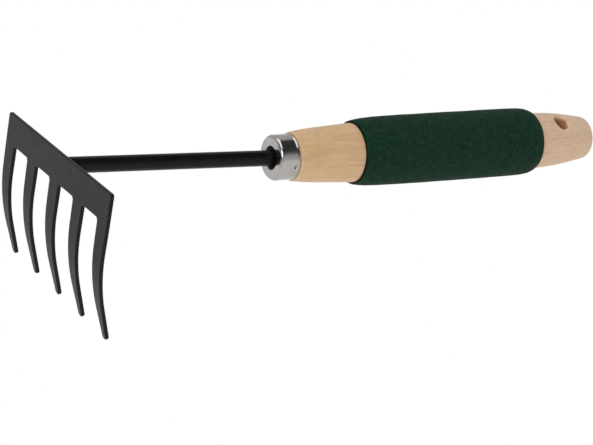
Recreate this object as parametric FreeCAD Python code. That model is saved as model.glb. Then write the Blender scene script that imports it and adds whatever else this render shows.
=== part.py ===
"""Hand rake: a five-tine sheet-steel head welded to a steel rod, whose tang sits in a turned wooden
handle with a pressed ferrule, a ferrule pin and a foam grip sleeve. Lengths are in millimetres.

The tool is drawn with the rod along +X, the head's front face at x = 0 and the tines pointing down.
It is then turned about Y until the tine tips and the handle's tail stand on z = 0, with the origin
under the middle of its bounding box.
"""

import FreeCAD
import Part
import math
import os

V = FreeCAD.Vector
X_AXIS = V(1, 0, 0)
Y_AXIS = V(0, 1, 0)

# Head: one stamped and bent steel sheet
SHEET = 1.8
HEAD_WIDTH = 110.7
HEAD_TOP = 6.9           # sheet above the rod's axis
ROOT_DROP = 7.3          # from the rod's axis down to where the tines begin
TINE_COUNT = 5
TINE_ROOT = 9.7
TINE_TIP = 3.5
TINE_KNEE = 0.35         # how far down a tine its taper sets in
TINE_LENGTH = 64.2       # from the rod's axis to the tip, along the sheet
STRAIGHT_LENGTH = 20.0   # sheet that stays flat below the rod's axis
BEND_RADIUS = 86.0
BEND_ANGLE = 19.0        # degrees, the tips swept back towards the handle
HEAD_LEAN = 1.25         # degrees that the whole head leans forward
HEAD_CORNER = 1.3
GAP_CORNER = 1.6
TIP_CORNER = 1.65
EDGE_ROUND = 0.5

# Rod, its tang and its weld
ROD_RADIUS = 3.8
SET_AT = 106.4           # where the rod's slight set begins
SET_ANGLE = 2.12         # degrees between the rod's line and the handle's
SET_TURN = 22.3          # degrees from upright towards -Y that the set is turned
SET_RADIUS = 60.0
TANG_END = 168.0
TANG_POINT = 9.0
EAR_START = 118.0
EAR_LENGTH = 13.0
EAR_WIDTH = 11.0
EAR_THICKNESS = 3.2
WELD_LEG_RADIAL = 1.6
WELD_LEG_AXIAL = 2.6

# Ferrule: a pressed cap on the handle's tenon
FERRULE_START = 111.3
FERRULE_LENGTH = 10.6
FERRULE_RADIUS = 11.0
FERRULE_WALL = 0.9
FERRULE_CORNER = 1.8
FERRULE_MOUTH = 5.7
RIM_RADIUS = 0.8        # rolled bead round the back edge

# Pin that keeps the ferrule on
PIN_RADIUS = 0.65
PIN_LENGTH = 6.0
PIN_BACK = 2.5           # from the ferrule's back edge
PIN_DROP = 7.5           # degrees below the side
PIN_SUNK = 0.3
DIMPLE_RADIUS = 1.0

# Wooden handle
SHOULDER_RADIUS = 11.95
SHOULDER_ROUND = 0.9
BELLY = [
    (130.0, 12.8), (143.0, 13.7), (157.0, 14.5), (205.0, 15.1),
    (250.0, 14.95), (268.0, 14.15), (280.0, 13.35), (289.0, 12.15),
]
TAIL_RADIUS = 10.95
TAIL_ROUND = 2.2
HANDLE_END = 298.3
BORE_MOUTH = 5.6         # radius of the flare round the rod
BORE_FLARE = 5.0
HANG_HOLE_AT = 278.5
HANG_HOLE_RADIUS = 3.75
HANG_HOLE_TILT = 27.0    # degrees from upright
HANG_HOLE_ROUND = 1.8

# Foam grip: its outer side, front to back, ending a little above the wood
GRIP_OUTLINE = [
    (156.0, 15.1), (157.2, 15.7), (159.5, 16.15), (163.0, 16.5), (170.0, 16.85), (185.0, 17.1),
    (220.0, 17.2), (250.0, 17.2), (256.0, 17.05), (259.5, 16.7), (261.5, 16.05), (262.7, 15.2),
]

tine_pitch = (HEAD_WIDTH - TINE_ROOT) / (TINE_COUNT - 1)
ferrule_back = FERRULE_START + FERRULE_LENGTH
tenon_radius = FERRULE_RADIUS - FERRULE_WALL
tenon_start = FERRULE_START + FERRULE_WALL
handle_pivot = V(SET_AT + SET_RADIUS * math.tan(math.radians(SET_ANGLE / 2)), 0, 0)


def polar(centre, radius, degrees):
    """Point in the XZ plane, the angle counted from +X towards +Z."""
    a = math.radians(degrees)
    return centre + V(radius * math.cos(a), 0, radius * math.sin(a))


def arc_between(centre, radius, start, end):
    middle = polar(centre, radius, (start + end) / 2)
    return Part.Arc(polar(centre, radius, start), middle, polar(centre, radius, end)).toShape()


def line(a, b):
    return Part.LineSegment(a, b).toShape()


def revolved(edges):
    """Solid of revolution about X from a closed profile in the XZ plane."""
    face = Part.Face(Part.Wire(edges))
    solid = face.revolve(V(0, 0, 0), X_AXIS, 360)
    return Part.makeSolid(solid) if solid.ShapeType != "Solid" else solid


def handle_frame(shape):
    """Handle pieces are drawn on the X axis; the rod's set lifts them and swings them to -Y."""
    placed = shape.copy()
    placed.rotate(handle_pivot, X_AXIS, -SET_TURN)
    placed.rotate(handle_pivot, Y_AXIS, -SET_ANGLE)
    placed.rotate(handle_pivot, X_AXIS, SET_TURN)
    return placed


# Head ----------------------------------------------------------------------------------------

def head_side_profile():
    """Side view of the bent sheet: flat, bend, flat."""
    centre = V(BEND_RADIUS, 0, -STRAIGHT_LENGTH)
    front, back = BEND_RADIUS, BEND_RADIUS - SHEET
    stop = 180 + BEND_ANGLE
    lower = TINE_LENGTH - STRAIGHT_LENGTH - math.radians(BEND_ANGLE) * front
    down = V(math.sin(math.radians(BEND_ANGLE)), 0, -math.cos(math.radians(BEND_ANGLE)))
    back_end = polar(centre, back, stop)
    front_end = polar(centre, front, stop)
    back_tip = back_end + down * lower
    front_tip = front_end + down * lower
    top_front, top_back = V(0, 0, HEAD_TOP), V(SHEET, 0, HEAD_TOP)
    return Part.Wire([
        line(top_front, top_back),
        line(top_back, polar(centre, back, 180)),
        arc_between(centre, back, 180, stop),
        line(back_end, back_tip),
        line(back_tip, front_tip),
        line(front_tip, front_end),
        arc_between(centre, front, stop, 180),
        line(polar(centre, front, 180), top_front),
    ])


def tine_side(y_centre, side, x, z_root, z_tip):
    """One tapering side of a tine: leaves its root upright and runs on a little past its tip."""
    root = V(x, y_centre + side * TINE_ROOT / 2, z_root)
    tip = V(x, y_centre + side * TINE_TIP / 2, z_tip)
    knee = V(x, root.y, z_root + (z_tip - z_root) * TINE_KNEE)
    on = 1.1
    low = root * (1 - on) ** 2 + knee * (2 * on * (1 - on)) + tip * on ** 2
    curve = Part.BezierCurve()
    curve.setPoles([root, root + (knee - root) * on, low])
    return curve.toShape(), root, low


def gap_cutter(y_left, y_right, x, depth, z_root, z_tip):
    """Prism that opens the gap between two neighbouring tines."""
    side_l, root_l, low_l = tine_side(y_left, 1, x, z_root, z_tip)
    side_r, root_r, low_r = tine_side(y_right, -1, x, z_root, z_tip)
    wire = Part.Wire([line(root_r, root_l), side_l, line(low_l, low_r), side_r])
    return Part.Face(wire).extrude(V(depth, 0, 0))


def outer_cutter(y_centre, side, x, depth, z_root, z_tip):
    """Prism that tapers the outer side of an end tine."""
    curve, root, low = tine_side(y_centre, side, x, z_root, z_tip)
    wide = side * TINE_ROOT
    far_low = V(x, root.y + wide, low.z)
    far_root = V(x, root.y + wide, z_root)
    wire = Part.Wire([curve, line(low, far_low), line(far_low, far_root), line(far_root, root)])
    return Part.Face(wire).extrude(V(depth, 0, 0))


def edge_middle(edge):
    return edge.valueAt((edge.FirstParameter + edge.LastParameter) / 2)


def corner_edges(shape, chosen):
    """Edges that run through the sheet's thickness at the chosen corners."""
    through = [e for e in shape.Edges if abs(e.Length - SHEET) < 0.25]
    return [e for e in through if chosen(edge_middle(e))]


def sharp_edges(shape):
    """Edges whose two faces meet at a steep angle."""
    found = []
    for edge in shape.Edges:
        middle = edge_middle(edge)
        faces = shape.ancestorsOfType(edge, Part.Face)
        normals = [f.normalAt(*f.Surface.parameter(middle)) for f in faces]
        if len(normals) == 2 and abs(normals[0].dot(normals[1])) < 0.5:
            found.append(edge)
    return found


def make_head():
    profile = Part.Face(head_side_profile())
    sheet = profile.extrude(V(0, HEAD_WIDTH, 0))
    sheet.translate(V(0, -HEAD_WIDTH / 2, 0))
    box = sheet.BoundBox
    z_root, z_tip = -ROOT_DROP, box.ZMin
    reach = (box.XMin - 5, box.XLength + 10, z_root, z_tip)
    centres = [(i - (TINE_COUNT - 1) / 2) * tine_pitch for i in range(TINE_COUNT)]
    cutters = [gap_cutter(a, b, *reach) for a, b in zip(centres, centres[1:])]
    cutters += [outer_cutter(centres[-1], 1, *reach), outer_cutter(centres[0], -1, *reach)]
    head = sheet.cut(cutters).Solids[0]
    inside = HEAD_WIDTH / 2 - TINE_ROOT / 2
    tops = corner_edges(head, lambda p: p.z > HEAD_TOP - 0.5)
    head = head.makeFillet(HEAD_CORNER, tops)
    gaps = corner_edges(head, lambda p: abs(p.z - z_root) < 0.5 and abs(p.y) < inside)
    head = head.makeFillet(GAP_CORNER, gaps)
    tips = corner_edges(head, lambda p: p.z < z_tip + 1.5)
    head = head.makeFillet(TIP_CORNER, tips)
    head = head.makeFillet(EDGE_ROUND, sharp_edges(head))
    head.rotate(V(0, 0, 0), Y_AXIS, HEAD_LEAN)
    return head


# Rod and weld --------------------------------------------------------------------------------

def make_rod():
    """Exposed rod, its slight set, and the eared tang with its point."""
    set_start = V(SET_AT, 0, 0)
    set_centre = V(SET_AT, 0, SET_RADIUS)
    set_end = polar(set_centre, SET_RADIUS, -90 + SET_ANGLE)
    set_middle = polar(set_centre, SET_RADIUS, -90 + SET_ANGLE / 2)
    along = V(math.cos(math.radians(SET_ANGLE)), 0, math.sin(math.radians(SET_ANGLE)))
    straight = Part.makeCylinder(ROD_RADIUS, SET_AT - SHEET / 2, V(SHEET / 2, 0, 0), X_AXIS)
    bend_section = Part.Wire(Part.makeCircle(ROD_RADIUS, set_start, X_AXIS))
    bend_path = Part.Wire(Part.Arc(set_start, set_middle, set_end).toShape())
    bend = bend_path.makePipeShell([bend_section], True, True)
    tang_length = TANG_END - TANG_POINT - SET_AT
    tang = Part.makeCylinder(ROD_RADIUS, tang_length, set_end, along)
    point = Part.makeCone(ROD_RADIUS, 0.8, TANG_POINT, set_end + along * tang_length, along)
    rod = straight.fuse([bend, tang, point])
    rod.rotate(V(0, 0, 0), X_AXIS, SET_TURN)
    return rod


def make_ears():
    """Two ears pressed out of the tang, which stop it turning in the wood."""
    half = EAR_WIDTH / 2
    start, stop = EAR_START, EAR_START + EAR_LENGTH
    ramp = EAR_LENGTH / 3
    side = [(start, ROD_RADIUS), (start + ramp, half), (stop - ramp, half), (stop, ROD_RADIUS)]
    corners = [V(x, -y, 0) for x, y in side]
    corners += [V(x, y, 0) for x, y in reversed(side)]
    outline = Part.makePolygon(corners + corners[:1])
    ears = Part.Face(outline).extrude(V(0, 0, EAR_THICKNESS))
    ears.translate(V(0, 0, -EAR_THICKNESS / 2))
    return handle_frame(ears)


def make_weld():
    """Fillet weld: a rounded ring between the head's back face and the rod."""
    outer, inner = ROD_RADIUS + WELD_LEG_RADIAL, ROD_RADIUS
    inside = SHEET / 2
    toe = V(SHEET + WELD_LEG_AXIAL, 0, inner)
    crown = V(SHEET + WELD_LEG_AXIAL * 0.55, 0, inner + WELD_LEG_RADIAL * 0.62)
    profile = [
        line(V(inside, 0, inner), V(inside, 0, outer)),
        line(V(inside, 0, outer), V(SHEET, 0, outer)),
        Part.Arc(V(SHEET, 0, outer), crown, toe).toShape(),
        line(toe, V(inside, 0, inner)),
    ]
    return revolved(profile)


# Handle pieces, drawn on the X axis ------------------------------------------------------------

def make_ferrule():
    start, wall, r, c = FERRULE_START, FERRULE_WALL, FERRULE_RADIUS, FERRULE_CORNER
    corner = V(start + c, 0, r - c)
    rim = V(ferrule_back - RIM_RADIUS, 0, r - RIM_RADIUS + 0.3)
    rim_front = V(rim.x - RIM_RADIUS, 0, r)
    rim_top = polar(rim, RIM_RADIUS, 90)
    rim_back = polar(rim, RIM_RADIUS, 0)
    lip = V(start + wall / 2, 0, FERRULE_MOUTH + wall / 2)
    rolled_back = V(rim_front.x + 0.25, 0, r + 0.12)
    profile = [
        line(polar(lip, wall / 2, 180), polar(corner, c, 180)),
        arc_between(corner, c, 180, 90),
        line(polar(corner, c, 90), rim_front),
        Part.Arc(rim_front, rolled_back, rim_top).toShape(),
        arc_between(rim, RIM_RADIUS, 90, 0),
        line(rim_back, V(ferrule_back, 0, tenon_radius)),
        line(V(ferrule_back, 0, tenon_radius), V(start + c, 0, tenon_radius)),
        arc_between(corner, c - wall, 90, 180),
        line(V(tenon_start, 0, r - c), V(tenon_start, 0, lip.z)),
        Part.Arc(V(tenon_start, 0, lip.z), V(lip.x, 0, FERRULE_MOUTH), V(start, 0, lip.z)).toShape(),
    ]
    return revolved(profile)


def make_pin():
    """Pointed pin driven in from the side, its head just below the ferrule's surface."""
    x = ferrule_back - PIN_BACK
    head_y = -(FERRULE_RADIUS - PIN_SUNK)
    point = 1.6
    shank = Part.makeCylinder(PIN_RADIUS, PIN_LENGTH - point, V(x, head_y, 0), Y_AXIS)
    tip = Part.makeCone(PIN_RADIUS, 0.15, point, V(x, head_y + PIN_LENGTH - point, 0), Y_AXIS)
    pin = shank.fuse(tip).removeSplitter()
    pin.rotate(V(0, 0, 0), X_AXIS, PIN_DROP)
    return pin


def make_dimple():
    """Cone that sets the pin's head below the ferrule's surface."""
    x = ferrule_back - PIN_BACK
    surface = -(FERRULE_RADIUS + 0.1)
    dimple = Part.makeCone(DIMPLE_RADIUS, PIN_RADIUS, PIN_SUNK + 0.1, V(x, surface, 0), Y_AXIS)
    dimple.rotate(V(0, 0, 0), X_AXIS, PIN_DROP)
    return dimple


def make_wood():
    """Turned handle without its bore and holes."""
    shoulder = V(ferrule_back + SHOULDER_ROUND, 0, SHOULDER_RADIUS - SHOULDER_ROUND)
    tail = V(HANDLE_END - TAIL_ROUND, 0, TAIL_RADIUS - TAIL_ROUND)
    tenon_corner = V(FERRULE_START + FERRULE_CORNER, 0, FERRULE_RADIUS - FERRULE_CORNER)
    tenon_round = FERRULE_CORNER - FERRULE_WALL
    body = Part.BSplineCurve()
    body_points = [polar(shoulder, SHOULDER_ROUND, 78)] + [V(x, 0, r) for x, r in BELLY]
    body_points.append(polar(tail, TAIL_ROUND, 78))
    body.interpolate(body_points)
    profile = [
        line(V(tenon_start, 0, 0), V(tenon_start, 0, tenon_corner.z)),
        arc_between(tenon_corner, tenon_round, 180, 90),
        line(polar(tenon_corner, tenon_round, 90), V(ferrule_back, 0, tenon_radius)),
        line(V(ferrule_back, 0, tenon_radius), V(ferrule_back, 0, shoulder.z)),
        arc_between(shoulder, SHOULDER_ROUND, 180, 78),
        body.toShape(),
        arc_between(tail, TAIL_ROUND, 78, 0),
        line(V(HANDLE_END, 0, tail.z), V(HANDLE_END, 0, 0)),
        line(V(HANDLE_END, 0, 0), V(tenon_start, 0, 0)),
    ]
    wood = revolved(profile)
    wood.rotate(V(0, 0, 0), X_AXIS, 90 + HANG_HOLE_TILT)
    return wood


def hang_hole_axis():
    tilt = math.radians(HANG_HOLE_TILT)
    return V(0, -math.sin(tilt), math.cos(tilt))


def drill_hang_hole(wood):
    """Cross hole near the tail, its two mouths rounded over."""
    axis, centre = hang_hole_axis(), V(HANG_HOLE_AT, 0, 0)
    reach = 2 * TAIL_RADIUS
    drilled = wood.cut(Part.makeCylinder(HANG_HOLE_RADIUS, 2 * reach, centre - axis * reach, axis))

    def on_mouth(edge):
        off_axis = [p.distanceToLine(centre, axis) for p in edge.discretize(9)]
        round_hole = all(abs(d - HANG_HOLE_RADIUS) < 0.01 for d in off_axis)
        return round_hole and edge.Curve.TypeId != "Part::GeomLine"

    return drilled.makeFillet(HANG_HOLE_ROUND, [e for e in drilled.Edges if on_mouth(e)])


def make_grip(wood):
    """Foam sleeve: its outer shape, less the wood that it is stretched over."""
    points = [V(x, 0, r) for x, r in GRIP_OUTLINE]
    outside = Part.BSplineCurve()
    outside.interpolate(points)
    front, back = V(points[0].x, 0, 0), V(points[-1].x, 0, 0)
    profile = [line(front, points[0]), outside.toShape(), line(points[-1], back), line(back, front)]
    return revolved(profile).cut(wood)


def make_bore_flare():
    """Flare at the front of the wood, round the rod."""
    return Part.makeCone(BORE_MOUTH, ROD_RADIUS - 0.2, BORE_FLARE, V(tenon_start, 0, 0), X_AXIS)


# The whole tool ------------------------------------------------------------------------------

def build_tool():
    """Every piece in the tool's own frame, rod along +X."""
    head = make_head()
    rod = make_rod().fuse(make_ears()).removeSplitter().cut(head)
    pin = handle_frame(make_pin())
    ferrule = handle_frame(make_ferrule().cut(make_dimple()))
    blank = make_wood()
    grip = handle_frame(make_grip(blank))
    handle = handle_frame(drill_hang_hole(blank).cut(make_bore_flare()))
    return {
        "rake_head": head,
        "weld_bead": make_weld().cut(head),
        "shaft": rod,
        "ferrule": ferrule.cut(pin),
        "ferrule_pin": pin,
        "handle": handle.cut([rod, pin]),
        "foam_grip": grip,
    }


def rest_placement(pieces):
    """Turns the tool about Y until head and handle stand on one level, then sets the origin."""
    head, handle = pieces["rake_head"], pieces["handle"]

    def lowest(shape, angle):
        turned = shape.copy()
        turned.rotate(V(0, 0, 0), Y_AXIS, angle)
        return turned.optimalBoundingBox(False, False).ZMin

    low, high = 5.0, 20.0
    while high - low > 1e-4:
        middle = (low + high) / 2
        if lowest(head, middle) < lowest(handle, middle):
            low = middle
        else:
            high = middle
    angle = (low + high) / 2
    turned = Part.makeCompound(list(pieces.values()))
    turned.rotate(V(0, 0, 0), Y_AXIS, angle)
    box = turned.optimalBoundingBox(False, False)
    shift = V(-(box.XMin + box.XMax) / 2, -(box.YMin + box.YMax) / 2, -box.ZMin)
    return FreeCAD.Placement(shift, FreeCAD.Rotation(Y_AXIS, angle))


def main():
    os.makedirs("parts", exist_ok=True)
    pieces = build_tool()
    placement = rest_placement(pieces)
    for name, shape in pieces.items():
        solids = shape.Solids
        piece = solids[0] if len(solids) == 1 else Part.makeCompound(solids)
        piece = piece.transformed(placement.toMatrix())
        print(f"{name}: solids {len(solids)}, valid {piece.isValid()}, volume {piece.Volume:.1f} mm3")
        piece.exportStep(f"parts/{name}.step")
    print("rest angle", round(math.degrees(placement.Rotation.Angle), 3), "shift", placement.Base)


if __name__ == "__main__":
    main()
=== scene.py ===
import math
import bpy
from mathutils import Euler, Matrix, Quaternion, Vector


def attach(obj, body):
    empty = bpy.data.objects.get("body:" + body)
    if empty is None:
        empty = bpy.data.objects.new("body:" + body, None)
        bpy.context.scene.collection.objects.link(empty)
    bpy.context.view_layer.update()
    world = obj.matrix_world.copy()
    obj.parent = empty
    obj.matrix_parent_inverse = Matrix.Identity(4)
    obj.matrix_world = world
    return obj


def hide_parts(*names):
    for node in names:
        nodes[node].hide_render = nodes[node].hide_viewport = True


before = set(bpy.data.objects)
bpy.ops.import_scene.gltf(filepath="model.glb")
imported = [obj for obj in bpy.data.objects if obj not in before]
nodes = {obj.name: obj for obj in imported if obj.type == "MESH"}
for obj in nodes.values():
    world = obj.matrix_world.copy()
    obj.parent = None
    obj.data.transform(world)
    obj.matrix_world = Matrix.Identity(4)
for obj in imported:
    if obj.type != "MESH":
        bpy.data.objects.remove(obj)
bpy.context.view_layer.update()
print("frame loaded:", ", ".join(sorted(nodes)))

# the two lines that everything round is built on, in metres
# startAt is how far along the tool the start lies, counted from the head's front face
rodLine = {
    "start": (-0.144237, 0.0, 0.063388),
    "startAt": 0.0,
    "turnDeg": (0.0, 11.474, 0.0),
}
handleLine = {
    "start": (-0.038875, 0.0, 0.042001),   # where the rod's set meets the handle's line
    "startAt": 0.10751,
    "turnDeg": (-0.149, 9.512, -0.816),
}


def lineTurn(line):
    return Euler([math.radians(degrees) for degrees in line["turnDeg"]])


# small helpers for modelling

def deselectAll():
    if bpy.context.mode != "OBJECT":
        bpy.ops.object.mode_set(mode="OBJECT")
    bpy.ops.object.select_all(action="DESELECT")
    bpy.context.view_layer.objects.active = None


def pickOnly(piece):
    deselectAll()
    piece.select_set(True)
    bpy.context.view_layer.objects.active = piece


def applyPlace(piece):
    pickOnly(piece)
    bpy.ops.object.transform_apply(location=True, rotation=True, scale=True)


def applyModifiers(piece):
    pickOnly(piece)
    for modifier in list(piece.modifiers):
        bpy.ops.object.modifier_apply(modifier=modifier.name)


def smoothByAngle(piece, degrees):
    pickOnly(piece)
    bpy.ops.object.shade_smooth_by_angle(angle=math.radians(degrees))


# a closed sleeve round the X axis: stations are (distance, radius) pairs that go once round its section
def turnSleeve(name, stations, sides):
    deselectAll()
    x0, r0 = stations[0]
    bpy.ops.mesh.primitive_circle_add(
        vertices=sides, radius=r0, fill_type="NOTHING", location=(x0, 0, 0), rotation=(0, math.pi / 2, 0))
    piece = bpy.context.active_object
    piece.name = name
    applyPlace(piece)
    bpy.ops.object.mode_set(mode="EDIT")
    bpy.ops.mesh.select_all(action="SELECT")
    for (x, r), (xNext, rNext) in zip(stations, stations[1:] + stations[:1]):
        bpy.ops.mesh.extrude_edges_move(TRANSFORM_OT_translate={"value": (xNext - x, 0, 0)})
        bpy.ops.transform.resize(value=(1, rNext / r, rNext / r), center_override=(xNext, 0, 0))
    bpy.ops.mesh.select_all(action="SELECT")
    bpy.ops.mesh.remove_doubles(threshold=1e-6)
    bpy.ops.mesh.normals_make_consistent(inside=False)
    bpy.ops.object.mode_set(mode="OBJECT")
    return piece


# sets a piece that was drawn along X from the head's front face onto its line
def seatOn(piece, line):
    turn = lineTurn(line)
    piece.rotation_euler = turn
    piece.location = Vector(line["start"]) - turn.to_matrix() @ Vector((line["startAt"], 0, 0))
    applyPlace(piece)


# small helpers for materials; coords, height and share are output sockets

def wire(tree, fromNode, fromSocket, toNode, toSocket):
    tree.links.new(fromNode.outputs[fromSocket], toNode.inputs[toSocket])


def addNode(tree, kind, spot=(0, 0), settings=None, values=None):
    made = tree.nodes.new(kind)
    made.location = spot
    for key, value in (settings or {}).items():
        setattr(made, key, value)
    for key, value in (values or {}).items():
        made.inputs[key].default_value = value
    return made


# a Map Range node that stays inside its limits, with soft ends when eased
def addRange(tree, spot, values, eased=False):
    settings = {"clamp": True, "interpolation_type": "SMOOTHSTEP" if eased else "LINEAR"}
    return addNode(tree, "ShaderNodeMapRange", spot, settings, values)


def startMaterial(name, surface):
    material = bpy.data.materials.new(name)
    material.use_nodes = True
    tree = material.node_tree
    tree.nodes.clear()
    out = addNode(tree, "ShaderNodeOutputMaterial", (900, 0))
    shader = addNode(tree, "ShaderNodeBsdfPrincipled", (600, 0), values=surface)
    wire(tree, shader, "BSDF", out, "Surface")
    return material, tree, shader


def startGroup(name, inputs, outputs):
    group = bpy.data.node_groups.new(name, "ShaderNodeTree")
    for label, kind, value in inputs:
        socket = group.interface.new_socket(name=label, in_out="INPUT", socket_type=kind)
        if value is not None:
            socket.default_value = value
    for label, kind in outputs:
        group.interface.new_socket(name=label, in_out="OUTPUT", socket_type=kind)
    return group, addNode(group, "NodeGroupInput", (-600, 0)), addNode(group, "NodeGroupOutput", (600, 0))


def placeGroup(tree, group, spot, coords, values):
    made = addNode(tree, "ShaderNodeGroup", spot, {"node_tree": group}, values)
    tree.links.new(coords, made.inputs["Vector"])
    return made.outputs[0]


# the piece's own coordinates
def pieceCoordinates(tree, spot):
    return addNode(tree, "ShaderNodeTexCoord", spot).outputs["Object"]


# the same, turned so that X runs along the piece's line from the line's start
def lineCoordinates(tree, line):
    centre = addNode(tree, "ShaderNodeMapping", (-1000, 0), {"vector_type": "TEXTURE"},
                     {"Location": line["start"], "Rotation": lineTurn(line)})
    tree.links.new(pieceCoordinates(tree, (-1200, 0)), centre.inputs["Vector"])
    return centre.outputs["Vector"]


def stretchedSpace(tree, coords, spot, scale, location=(0, 0, 0)):
    space = addNode(tree, "ShaderNodeMapping", spot, values={"Location": location, "Scale": scale})
    tree.links.new(coords, space.inputs["Vector"])
    return space.outputs["Vector"]


# mixes two tones, each a colour or the result of another mix
def mixTones(tree, spot, first, second, share):
    blend = addNode(tree, "ShaderNodeMix", spot, {"data_type": "RGBA"})
    tree.links.new(share, blend.inputs[0])
    for tone, slot in ((first, 6), (second, 7)):    # the Mix node's sockets for colours
        if isinstance(tone, tuple):
            blend.inputs[slot].default_value = tone
        else:
            tree.links.new(tone, blend.inputs[slot])
    return blend.outputs[2]


# adds up masks by their weights, never past 1
def weighMasks(tree, spot, masks):
    total = None
    for mask, weight in masks:
        part = addNode(tree, "ShaderNodeMath", spot, {"operation": "MULTIPLY_ADD", "use_clamp": True})
        part.inputs[1].default_value = weight
        part.inputs[2].default_value = 0.0
        tree.links.new(mask, part.inputs[0])
        if total is not None:
            tree.links.new(total, part.inputs[2])
        total = part.outputs[0]
    return total


def addBump(tree, shader, height, strength, distance):
    bump = addNode(tree, "ShaderNodeBump", (300, -300), values={"Strength": strength, "Distance": distance})
    tree.links.new(height, bump.inputs["Height"])
    wire(tree, bump, "Normal", shader, "Normal")


# node groups shared by the finishes

# uneven: a soft blotchy value between two limits
def makeUnevenGroup():
    group, given, result = startGroup("uneven", [
        ("Vector", "NodeSocketVector", None),
        ("Scale", "NodeSocketFloat", 100.0),
        ("Detail", "NodeSocketFloat", 3.0),
        ("Low", "NodeSocketFloat", 0.0),
        ("High", "NodeSocketFloat", 1.0),
    ], [("Value", "NodeSocketFloat")])
    blotches = addNode(group, "ShaderNodeTexNoise", (-300, 0), values={"Roughness": 0.55})
    limits = addRange(group, (200, 0), {"From Min": 0.3, "From Max": 0.7})
    for label in ("Vector", "Scale", "Detail"):
        wire(group, given, label, blotches, label)
    wire(group, blotches, "Fac", limits, "Value")
    wire(group, given, "Low", limits, "To Min")
    wire(group, given, "High", limits, "To Max")
    wire(group, limits, "Result", result, "Value")
    return group


# speckle: small scattered dots, 1 in a dot and 0 outside
def makeSpeckleGroup():
    group, given, result = startGroup("speckle", [
        ("Vector", "NodeSocketVector", None),
        ("Scale", "NodeSocketFloat", 1000.0),
        ("Size", "NodeSocketFloat", 0.25),
        ("Softness", "NodeSocketFloat", 0.1),
    ], [("Mask", "NodeSocketFloat")])
    dots = addNode(group, "ShaderNodeTexVoronoi", (-300, 0), {"feature": "F1"})
    outer = addNode(group, "ShaderNodeMath", (-300, -300), {"operation": "ADD"})
    fade = addRange(group, (200, 0), {"To Min": 1.0, "To Max": 0.0})
    wire(group, given, "Vector", dots, "Vector")
    wire(group, given, "Scale", dots, "Scale")
    wire(group, given, "Size", outer, 0)
    wire(group, given, "Softness", outer, 1)
    wire(group, dots, "Distance", fade, "Value")
    wire(group, given, "Size", fade, "From Min")
    wire(group, outer, 0, fade, "From Max")
    wire(group, fade, "Result", result, "Mask")
    return group


# skin: fine raised texture of a coat or a moulded skin, as a height
def makeSkinGroup():
    group, given, result = startGroup("skin", [
        ("Vector", "NodeSocketVector", None),
        ("Coarse", "NodeSocketFloat", 600.0),
        ("Fine", "NodeSocketFloat", 2400.0),
        ("Share", "NodeSocketFloat", 0.4),
    ], [("Height", "NodeSocketFloat")])
    swell = addNode(group, "ShaderNodeTexNoise", (-300, 100), values={"Detail": 2.0})
    pores = addNode(group, "ShaderNodeTexNoise", (-300, -200), values={"Detail": 3.0, "Roughness": 0.6})
    both = addNode(group, "ShaderNodeMix", (200, 0), {"data_type": "FLOAT"})
    wire(group, given, "Vector", swell, "Vector")
    wire(group, given, "Vector", pores, "Vector")
    wire(group, given, "Coarse", swell, "Scale")
    wire(group, given, "Fine", pores, "Scale")
    wire(group, given, "Share", both, 0)
    wire(group, swell, "Fac", both, 2)
    wire(group, pores, "Fac", both, 3)
    wire(group, both, 0, result, "Height")
    return group


# band: 1 close to a given distance along the piece's line, fading to 0 over the width
def makeBandGroup():
    group, given, result = startGroup("band", [
        ("Vector", "NodeSocketVector", None),
        ("At", "NodeSocketFloat", 0.0),
        ("Width", "NodeSocketFloat", 0.001),
    ], [("Mask", "NodeSocketFloat")])
    along = addNode(group, "ShaderNodeSeparateXYZ", (-300, 0))
    away = addNode(group, "ShaderNodeMath", (-100, 0), {"operation": "SUBTRACT"})
    far = addNode(group, "ShaderNodeMath", (50, 0), {"operation": "ABSOLUTE"})
    fade = addRange(group, (250, 0), {"To Min": 1.0, "To Max": 0.0}, eased=True)
    wire(group, given, "Vector", along, "Vector")
    wire(group, along, "X", away, 0)
    wire(group, given, "At", away, 1)
    wire(group, away, 0, far, 0)
    wire(group, far, 0, fade, "Value")
    wire(group, given, "Width", fade, "From Max")
    wire(group, fade, "Result", result, "Mask")
    return group


unevenGroup = makeUnevenGroup()
speckleGroup = makeSpeckleGroup()
skinGroup = makeSkinGroup()
bandGroup = makeBandGroup()
print("shared node groups built")


def placeUneven(tree, spot, coords, scale, detail, limits=(0.0, 1.0)):
    return placeGroup(tree, unevenGroup, spot, coords,
                      {"Scale": scale, "Detail": detail, "Low": limits[0], "High": limits[1]})


def placeSpeckle(tree, spot, coords, scale, size, softness):
    return placeGroup(tree, speckleGroup, spot, coords, {"Scale": scale, "Size": size, "Softness": softness})


def placeSkin(tree, spot, coords, coarse, fine, share):
    return placeGroup(tree, skinGroup, spot, coords, {"Coarse": coarse, "Fine": fine, "Share": share})


# at counts from the head's front face, as all distances along the handle do
def placeBand(tree, spot, coords, line, at, width):
    return placeGroup(tree, bandGroup, spot, coords, {"At": at - line["startAt"], "Width": width})


# black coat on the steel

coatLook = {
    "headPowderCoat": {
        "dark": (0.006, 0.006, 0.006, 1),
        "light": (0.010, 0.010, 0.010, 1),
        "rough": (0.34, 0.42),
        "peel": 0.30,          # how strongly the coat is orange-peeled
        "specular": 0.16,
    },
    "rodPaint": {
        "dark": (0.004, 0.0045, 0.005, 1),
        "light": (0.006, 0.0065, 0.007, 1),
        "rough": (0.24, 0.32),
        "peel": 0.08,
        "specular": 0.15,
    },
}


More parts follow.
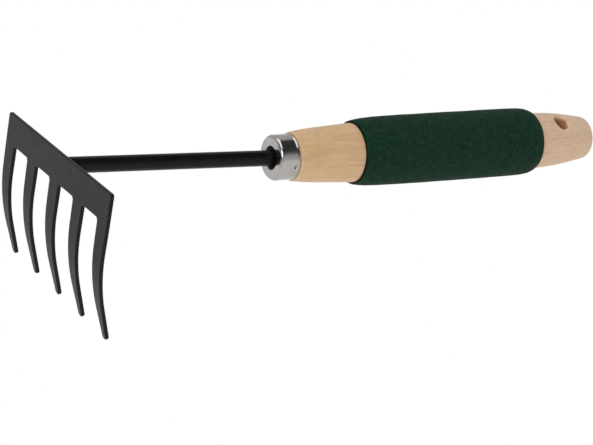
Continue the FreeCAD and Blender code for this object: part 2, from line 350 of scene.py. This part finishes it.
def makeBlackCoat(name):
    look = coatLook[name]
    material, tree, shader = startMaterial(name, {"Metallic": 0.0, "Specular IOR Level": look["specular"]})
    coords = lineCoordinates(tree, rodLine)
    tone = placeUneven(tree, (-500, 300), coords, 90.0, 4.0)
    rough = placeUneven(tree, (-500, 0), coords, 240.0, 3.0, look["rough"])
    grain = placeSkin(tree, (-500, -300), coords, 700.0, 2600.0, 0.35)
    colour = mixTones(tree, (0, 300), look["dark"], look["light"], tone)
    tree.links.new(colour, shader.inputs["Base Color"])
    tree.links.new(rough, shader.inputs["Roughness"])
    addBump(tree, shader, grain, look["peel"], 0.0002)
    return material


headCoat = makeBlackCoat("headPowderCoat")
rodCoat = makeBlackCoat("rodPaint")
print("black coats made")

# plated ferrule and its pin

ferruleLook = {
    "plating": (0.49, 0.47, 0.455, 1),
    "clouded": (0.40, 0.385, 0.37, 1),
    "rough": (0.12, 0.20),
    "polish": 0.08,            # strength of the faint lines left round the ferrule by polishing
}
pinLook = {
    "bright": (0.26, 0.25, 0.24, 1),
    "dull": (0.16, 0.15, 0.145, 1),
    "rough": (0.35, 0.55),
}


def makePlating():
    look = ferruleLook
    material, tree, shader = startMaterial("ferrulePlating", {"Metallic": 1.0})
    coords = lineCoordinates(tree, handleLine)
    tone = placeUneven(tree, (-500, 300), coords, 160.0, 4.0)
    rough = placeUneven(tree, (-500, 0), coords, 300.0, 5.0, look["rough"])
    roundIt = stretchedSpace(tree, coords, (-750, -300), (1.0, 0.05, 0.05))
    lines = placeSkin(tree, (-500, -300), roundIt, 900.0, 5000.0, 0.6)
    colour = mixTones(tree, (0, 300), look["plating"], look["clouded"], tone)
    tree.links.new(colour, shader.inputs["Base Color"])
    tree.links.new(rough, shader.inputs["Roughness"])
    addBump(tree, shader, lines, look["polish"], 0.0001)
    return material


def makePinSteel():
    look = pinLook
    material, tree, shader = startMaterial("pinSteel", {"Metallic": 1.0})
    coords = lineCoordinates(tree, handleLine)
    tone = placeUneven(tree, (-500, 300), coords, 900.0, 3.0)
    rough = placeUneven(tree, (-500, 0), coords, 1500.0, 3.0, look["rough"])
    colour = mixTones(tree, (0, 300), look["bright"], look["dull"], tone)
    tree.links.new(colour, shader.inputs["Base Color"])
    tree.links.new(rough, shader.inputs["Roughness"])
    return material


plating = makePlating()
pinSteel = makePinSteel()
print("metals made")

# pale turned wood

woodLook = {
    "pale": (0.76, 0.52, 0.30, 1),
    "warm": (0.60, 0.37, 0.175, 1),
    "tailPale": (0.78, 0.55, 0.39, 1),
    "tailWarm": (0.66, 0.445, 0.29, 1),
    "fleck": (0.42, 0.24, 0.11, 1),
    "mouthShade": (0.055, 0.030, 0.016, 1),     # painted shade on the wood's front end, deep in the ferrule's mouth round the rod
    "bored": (0.46, 0.22, 0.10, 1),           # inside the hanging hole
    "rough": (0.42, 0.56),
    "ringScale": 95.0,
    "heart": (0.0, 0.016, -0.021),            # the tree's heart, beside the handle
    "tailStarts": (0.13751, 0.27751),         # the wood turns paler and pinker between these
    "tenon": 0.1122,                          # front end of the wood
    "mouthShadeWidth": 0.0065,
}
hangingHole = {
    "centre": (0.129747, -0.0024, 0.013746),
    "axis": (0.140985, -0.453732, 0.879915),
    "radius": 0.00375,
    "round": 0.0018,
    "raggedness": 0.0010,
}


# 1 inside the hanging hole, ending raggedly in its rounded mouths
def holeMask(tree):
    hole = hangingHole
    coords = pieceCoordinates(tree, (-700, 1100))
    turn = Vector(hole["axis"]).to_track_quat("Z", "Y").to_euler()
    middle = addNode(tree, "ShaderNodeMapping", (-500, 1100), {"vector_type": "TEXTURE"},
                     {"Location": hole["centre"], "Rotation": turn})
    across = addNode(tree, "ShaderNodeVectorMath", (-300, 1100), {"operation": "MULTIPLY"})
    across.inputs[1].default_value = (1, 1, 0)
    reach = addNode(tree, "ShaderNodeVectorMath", (-100, 1100), {"operation": "LENGTH"})
    ragged = placeUneven(tree, (-300, 900), coords, 420.0, 3.0, (-hole["raggedness"], hole["raggedness"]))
    edge = addNode(tree, "ShaderNodeMath", (50, 1100), {"operation": "ADD"})
    wornTo = hole["radius"] + hole["round"] * 0.6
    mouth = {"From Min": hole["radius"], "From Max": wornTo, "To Min": 1.0, "To Max": 0.0}
    bored = addRange(tree, (200, 1100), mouth, eased=True)
    tree.links.new(coords, middle.inputs["Vector"])
    wire(tree, middle, "Vector", across, 0)
    wire(tree, across, "Vector", reach, 0)
    wire(tree, reach, "Value", edge, 0)
    tree.links.new(ragged, edge.inputs[1])
    wire(tree, edge, 0, bored, "Value")
    return bored.outputs["Result"]


def makePaleWood():
    look = woodLook
    material, tree, shader = startMaterial("paleWood", {"Metallic": 0.0, "Specular IOR Level": 0.5})
    coords = lineCoordinates(tree, handleLine)
    # growth rings, cut lengthways by the turning
    rings = addNode(
        tree, "ShaderNodeTexWave", (-500, 500),
        {"wave_type": "RINGS", "rings_direction": "X", "wave_profile": "SAW"},
        {"Scale": look["ringScale"], "Distortion": 2.2, "Detail": 2.0, "Detail Scale": 1.2})
    heart = stretchedSpace(tree, coords, (-750, 500), (0.12, 1.0, 1.0), look["heart"])
    tree.links.new(heart, rings.inputs["Vector"])
    # fibres run the length of the handle, flecks are short dark dashes
    fibreSpace = stretchedSpace(tree, coords, (-750, 100), (0.045, 1.0, 1.0))
    fibres = placeUneven(tree, (-500, 100), fibreSpace, 800.0, 4.0)
    fleckSpace = stretchedSpace(tree, coords, (-750, -200), (0.12, 1.0, 1.0))
    flecks = placeSpeckle(tree, (-500, -200), fleckSpace, 1000.0, 0.12, 0.25)
    # slow changes of tone over the whole handle
    broad = placeUneven(tree, (-500, -500), coords, 60.0, 3.0)
    rough = placeUneven(tree, (-500, -700), coords, 120.0, 3.0, look["rough"])
    grain = [(rings.outputs["Fac"], 0.22), (fibres, 0.42), (broad, 0.30)]
    front = mixTones(tree, (0, 500), look["pale"], look["warm"], weighMasks(tree, (-200, 500), grain))
    tail = mixTones(tree, (0, 200), look["tailPale"], look["tailWarm"], weighMasks(tree, (-200, 200), grain))
    # a paler, pinker tail
    along = addNode(tree, "ShaderNodeSeparateXYZ", (-500, 800))
    tailFrom, tailTo = [at - handleLine["startAt"] for at in look["tailStarts"]]
    towardsTail = addRange(tree, (-300, 800), {"From Min": tailFrom, "From Max": tailTo})
    tree.links.new(coords, along.inputs["Vector"])
    wire(tree, along, "X", towardsTail, "Value")
    turned = mixTones(tree, (200, 400), front, tail, towardsTail.outputs["Result"])
    fleckShare = weighMasks(tree, (150, 200), [(flecks, 0.35)])
    flecked = mixTones(tree, (350, 200), turned, look["fleck"], fleckShare)
    # painted shade: the wood's front end inside the ferrule's mouth is darkened to stand for the deep shadow
    # round the rod
    mouthShadeBand = placeBand(tree, (200, 700), coords, handleLine, look["tenon"], look["mouthShadeWidth"])
    mouthShadeShare = weighMasks(tree, (300, 300), [(mouthShadeBand, 1.3)])
    mouthShaded = mixTones(tree, (500, 300), flecked, look["mouthShade"], mouthShadeShare)
    boredShare = weighMasks(tree, (400, 500), [(holeMask(tree), 0.85)])
    holed = mixTones(tree, (600, 500), mouthShaded, look["bored"], boredShare)
    tree.links.new(holed, shader.inputs["Base Color"])
    tree.links.new(rough, shader.inputs["Roughness"])
    addBump(tree, shader, fibres, 0.10, 0.0002)
    return material


paleWood = makePaleWood()
print("wood made")

# green foam

foamLook = {
    "green": (0.0045, 0.0250, 0.0125, 1),
    "worn": (0.0125, 0.0460, 0.0250, 1),
    "pit": (0.0030, 0.0120, 0.0065, 1),
    "cut": (0.0020, 0.0060, 0.0040, 1),
    "rough": (0.62, 0.82),
    "ends": (0.1560, 0.2627),     # the sleeve's cut ends, darker than its skin, and darker still with painted shade for the shadow line against the wood
    "endWidth": 0.0011,
}


def makeGreenFoam():
    look = foamLook
    material, tree, shader = startMaterial("greenFoam", {"Metallic": 0.0, "Specular IOR Level": 0.08})
    coords = lineCoordinates(tree, handleLine)
    mottle = placeUneven(tree, (-500, 400), coords, 520.0, 5.0)
    pits = placeSpeckle(tree, (-500, 100), coords, 1100.0, 0.18, 0.25)
    rough = placeUneven(tree, (-500, -200), coords, 300.0, 3.0, look["rough"])
    cells = placeSkin(tree, (-500, -500), coords, 420.0, 1500.0, 0.5)
    tone = mixTones(tree, (0, 400), look["green"], look["worn"], mottle)
    shade = mixTones(tree, (250, 300), tone, look["pit"], weighMasks(tree, (-50, 100), [(pits, 0.6)]))
    # a near-black band at each end: cut foam with painted shade for the shadow line against the wood
    for end in look["ends"]:
        band = placeBand(tree, (250, 700), coords, handleLine, end, look["endWidth"])
        shade = mixTones(tree, (450, 400), shade, look["cut"], band)
    tree.links.new(shade, shader.inputs["Base Color"])
    tree.links.new(rough, shader.inputs["Roughness"])
    addBump(tree, shader, cells, 0.5, 0.0004)
    return material


greenFoam = makeGreenFoam()
print("foam made")


# finishes on the pieces that keep their own shape
def dress(nodeName, material):
    mesh = nodes[nodeName].data
    for index in range(len(mesh.materials)):
        mesh.materials[index] = material
    if not mesh.materials:
        mesh.materials.append(material)


dress("rake_head", headCoat)
dress("shaft", rodCoat)
dress("ferrule", plating)
dress("ferrule_pin", pinSteel)
dress("handle", paleWood)
print("carried pieces dressed")

# foam grip: a soft sleeve stretched over the wood
# outline and wood are (distance, radius) pairs, from the front edge to the back edge
grip = {
    "outline": [(0.1560, 0.01500), (0.1564, 0.01535), (0.1572, 0.01572), (0.1595, 0.01615), (0.1630, 0.01650),
                (0.1700, 0.01686), (0.1850, 0.01711), (0.2200, 0.01722), (0.2500, 0.01720), (0.2560, 0.01706),
                (0.2595, 0.01671), (0.2615, 0.01606), (0.2624, 0.01550), (0.2627, 0.01500)],
    "wood": [(0.1560, 0.01448), (0.1650, 0.01484), (0.1800, 0.01509), (0.2050, 0.01514), (0.2300, 0.01526),
             (0.2500, 0.01499), (0.2627, 0.01445)],
    "clearance": 0.00004,      # between the wood and the foam's inner side
    "step": 0.0016,
    "sides": 144,
    "unevenness": 0.00022,
    "blotch": 0.010,           # size of the low and high places
    "fill": 0.95,
}


# fills the spaces between outline points so that the foam can be pushed about evenly
def fillIn(points, step):
    filled = []
    for (x, r), (xNext, rNext) in zip(points, points[1:]):
        count = max(1, round((xNext - x) / step))
        filled += [(x + (xNext - x) * i / count, r + (rNext - r) * i / count) for i in range(count)]
    return filled + points[-1:]


def makeGrip():
    inside = [(x, r + grip["clearance"]) for x, r in reversed(grip["wood"])]
    piece = turnSleeve("foamGrip", fillIn(grip["outline"], grip["step"]) + inside, grip["sides"])
    seatOn(piece, handleLine)
    swell = bpy.data.textures.new("foamSwell", "CLOUDS")
    swell.noise_scale = grip["blotch"]
    swell.noise_depth = 2
    uneven = piece.modifiers.new("uneven", "DISPLACE")
    uneven.texture = swell
    uneven.strength = grip["unevenness"]
    uneven.mid_level = 0.5
    applyModifiers(piece)
    smoothByAngle(piece, 50)
    piece.data.materials.append(greenFoam)
    return piece


foamGrip = makeGrip()
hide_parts("foam_grip")
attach(foamGrip, "root")
print("grip made")

# weld bead: laid down in small overlapping ripples

weld = {
    "sheet": 0.0018,
    "rod": 0.0038,
    "legOut": 0.0016,
    "legAlong": 0.0026,
    "crown": 0.0003,           # how full the bead is in the middle
    "gap": 0.00003,            # off the rod
    "sheetGap": 0.00015,       # off the sheet's back face, which leans a little
    "steps": 10,
    "sides": 96,
    "ripples": 16,
    "rippleGrowth": 0.05,
}


# the bead's section, from the sheet down to the rod
def weldSection():
    x0, inner = weld["sheet"] + weld["sheetGap"], weld["rod"] + weld["gap"]
    stations = [(x0, inner), (x0, inner + weld["legOut"])]
    for i in range(1, weld["steps"]):
        t = i / weld["steps"]
        full = weld["crown"] * math.sin(math.pi * t)
        stations.append((x0 + weld["legAlong"] * t, inner + weld["legOut"] * (1 - t) + full))
    stations.append((x0 + weld["legAlong"], inner + weld["gap"]))
    return stations


# selects the outer points that lie a number of rows away from the middle of a ripple
def selectRippleRows(piece, away):
    every = weld["sides"] // weld["ripples"]
    outside = weld["rod"] + weld["gap"] + 0.0004
    bpy.ops.object.mode_set(mode="EDIT")
    bpy.ops.mesh.select_mode(type="VERT")
    bpy.ops.mesh.select_all(action="DESELECT")
    bpy.ops.object.mode_set(mode="OBJECT")
    for vertex in piece.data.vertices:
        angle = math.atan2(vertex.co.z, vertex.co.y)
        row = round(angle / (2 * math.pi) * weld["sides"]) % every
        reach = math.hypot(vertex.co.y, vertex.co.z)
        vertex.select = min(row, every - row) == away and reach > outside
    bpy.ops.object.mode_set(mode="EDIT")


def makeWeld():
    piece = turnSleeve("weldBead", weldSection(), weld["sides"])
    start = weld["sheet"] + weld["sheetGap"]
    # a ripple's middle row swells the most and its neighbours less
    for away, share in ((0, 1.0), (1, 0.75), (2, 0.25)):
        selectRippleRows(piece, away)
        growth = 1 + weld["rippleGrowth"] * share
        bpy.ops.transform.resize(value=(1, growth, growth), center_override=(start, 0, 0))
        bpy.ops.object.mode_set(mode="OBJECT")
    seatOn(piece, rodLine)
    smoothByAngle(piece, 60)
    piece.data.materials.append(headCoat)
    return piece


weldBead = makeWeld()
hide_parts("weld_bead")
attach(weldBead, "root")
print("weld made")

# floor, room and lights

studio = {
    "floorSize": 12.0,
    "floorDrop": 0.0002,
    "floorGlow": 1.0,             # as the camera sees it
    "floorBounce": 0.70,          # as the tool sees it
    "floorTone": 0.25,
    "roomTone": (0.05, 0.052, 0.056, 1),
    "sweepTone": (0.62, 0.62, 0.62, 1),
    "sweepEdge": (0.27, 0.42),    # bright behind, counted towards +Y
    "wallEdge": (0.15, 0.60),     # bright low down all round, counted upwards
    "aim": (0, 0, 0.02),
}
softboxes = {
    "softboxLeft": {"place": (-1.3, -1.0, 1.2), "width": 1.3, "height": 1.0, "watts": 14.0},
    "softboxRight": {"place": (1.95, -0.1, 0.75), "width": 1.2, "height": 1.0, "watts": 5.0},
    "softboxTop": {"place": (-0.2, 0.1, 1.9), "width": 2.0, "height": 1.6, "watts": 16.0},
}


def makeFloor():
    deselectAll()
    bpy.ops.mesh.primitive_plane_add(size=studio["floorSize"], location=(0, 0, -studio["floorDrop"]))
    floor = bpy.context.active_object
    floor.name = "floor"
    material, tree, shader = startMaterial("paleFloor", {
        "Roughness": 0.8, "Specular IOR Level": 0.0, "Emission Color": (1, 1, 1, 1)})
    # the camera sees an even white, and the tool sees a paper floor that light falls on
    seen = addNode(tree, "ShaderNodeLightPath", (0, -100))
    glow = addRange(tree, (300, -300), {"To Min": studio["floorBounce"], "To Max": studio["floorGlow"]})
    tone = addRange(tree, (300, 0), {"To Min": studio["floorTone"], "To Max": 0.0})
    wire(tree, seen, "Is Camera Ray", glow, "Value")
    wire(tree, seen, "Is Camera Ray", tone, "Value")
    wire(tree, glow, "Result", shader, "Emission Strength")
    wire(tree, tone, "Result", shader, "Base Color")
    floor.data.materials.append(material)


# the room is bright behind the tool and low down all round, and dark above the camera's side
def makeRoom():
    world = bpy.data.worlds.new("room")
    world.use_nodes = True
    tree = world.node_tree
    sight = addNode(tree, "ShaderNodeTexCoord", (-900, 0))
    ways = addNode(tree, "ShaderNodeSeparateXYZ", (-700, 0))
    sweepFrom, sweepTo = studio["sweepEdge"]
    wallFrom, wallTo = studio["wallEdge"]
    sweep = addRange(tree, (-500, 200), {"From Min": sweepFrom, "From Max": sweepTo}, eased=True)
    wall = addRange(
        tree, (-500, -200),
        {"From Min": wallFrom, "From Max": wallTo, "To Min": 1.0, "To Max": 0.0}, eased=True)
    lit = addNode(tree, "ShaderNodeMath", (-300, 0), {"operation": "MAXIMUM"})
    wire(tree, sight, "Generated", ways, "Vector")
    wire(tree, ways, "Y", sweep, "Value")
    wire(tree, ways, "Z", wall, "Value")
    wire(tree, sweep, "Result", lit, 0)
    wire(tree, wall, "Result", lit, 1)
    backdrop = mixTones(tree, (-150, 0), studio["roomTone"], studio["sweepTone"], lit.outputs[0])
    tree.links.new(backdrop, tree.nodes["Background"].inputs["Color"])
    bpy.context.scene.world = world


def makeSoftbox(name, box):
    data = bpy.data.lights.new(name, "AREA")
    data.shape = "RECTANGLE"
    data.size = box["width"]
    data.size_y = box["height"]
    data.energy = box["watts"]
    lamp = bpy.data.objects.new(name, data)
    bpy.context.scene.collection.objects.link(lamp)
    lamp.location = box["place"]
    look = Vector(studio["aim"]) - Vector(box["place"])
    lamp.rotation_euler = look.to_track_quat("-Z", "Y").to_euler()


makeFloor()
for name, box in softboxes.items():
    makeSoftbox(name, box)
makeRoom()
bpy.context.scene.view_settings.view_transform = "Standard"
print("studio lit")

cameraRig = {
    "place": (-0.44639, -0.74526, 0.41266),
    "azimuthDeg": -29.685,
    "elevationDeg": 25.482,
    "rollDeg": -1.226,
    "lens": 118.59,
    "sensor": 36.0,
}


def makeCamera():
    rig = cameraRig
    a, e = math.radians(rig["azimuthDeg"]), math.radians(rig["elevationDeg"])
    back = Vector((math.sin(a) * math.cos(e), -math.cos(a) * math.cos(e), math.sin(e)))
    roll = Quaternion((0, 0, 1), math.radians(rig["rollDeg"]))
    data = bpy.data.cameras.new("camera")
    data.lens = rig["lens"]
    data.sensor_width = rig["sensor"]
    data.clip_start = 0.05
    camera = bpy.data.objects.new("camera", data)
    bpy.context.scene.collection.objects.link(camera)
    camera.location = rig["place"]
    camera.rotation_mode = "QUATERNION"
    camera.rotation_quaternion = (-back).to_track_quat("-Z", "Y") @ roll
    bpy.context.scene.camera = camera


makeCamera()
print("camera set")
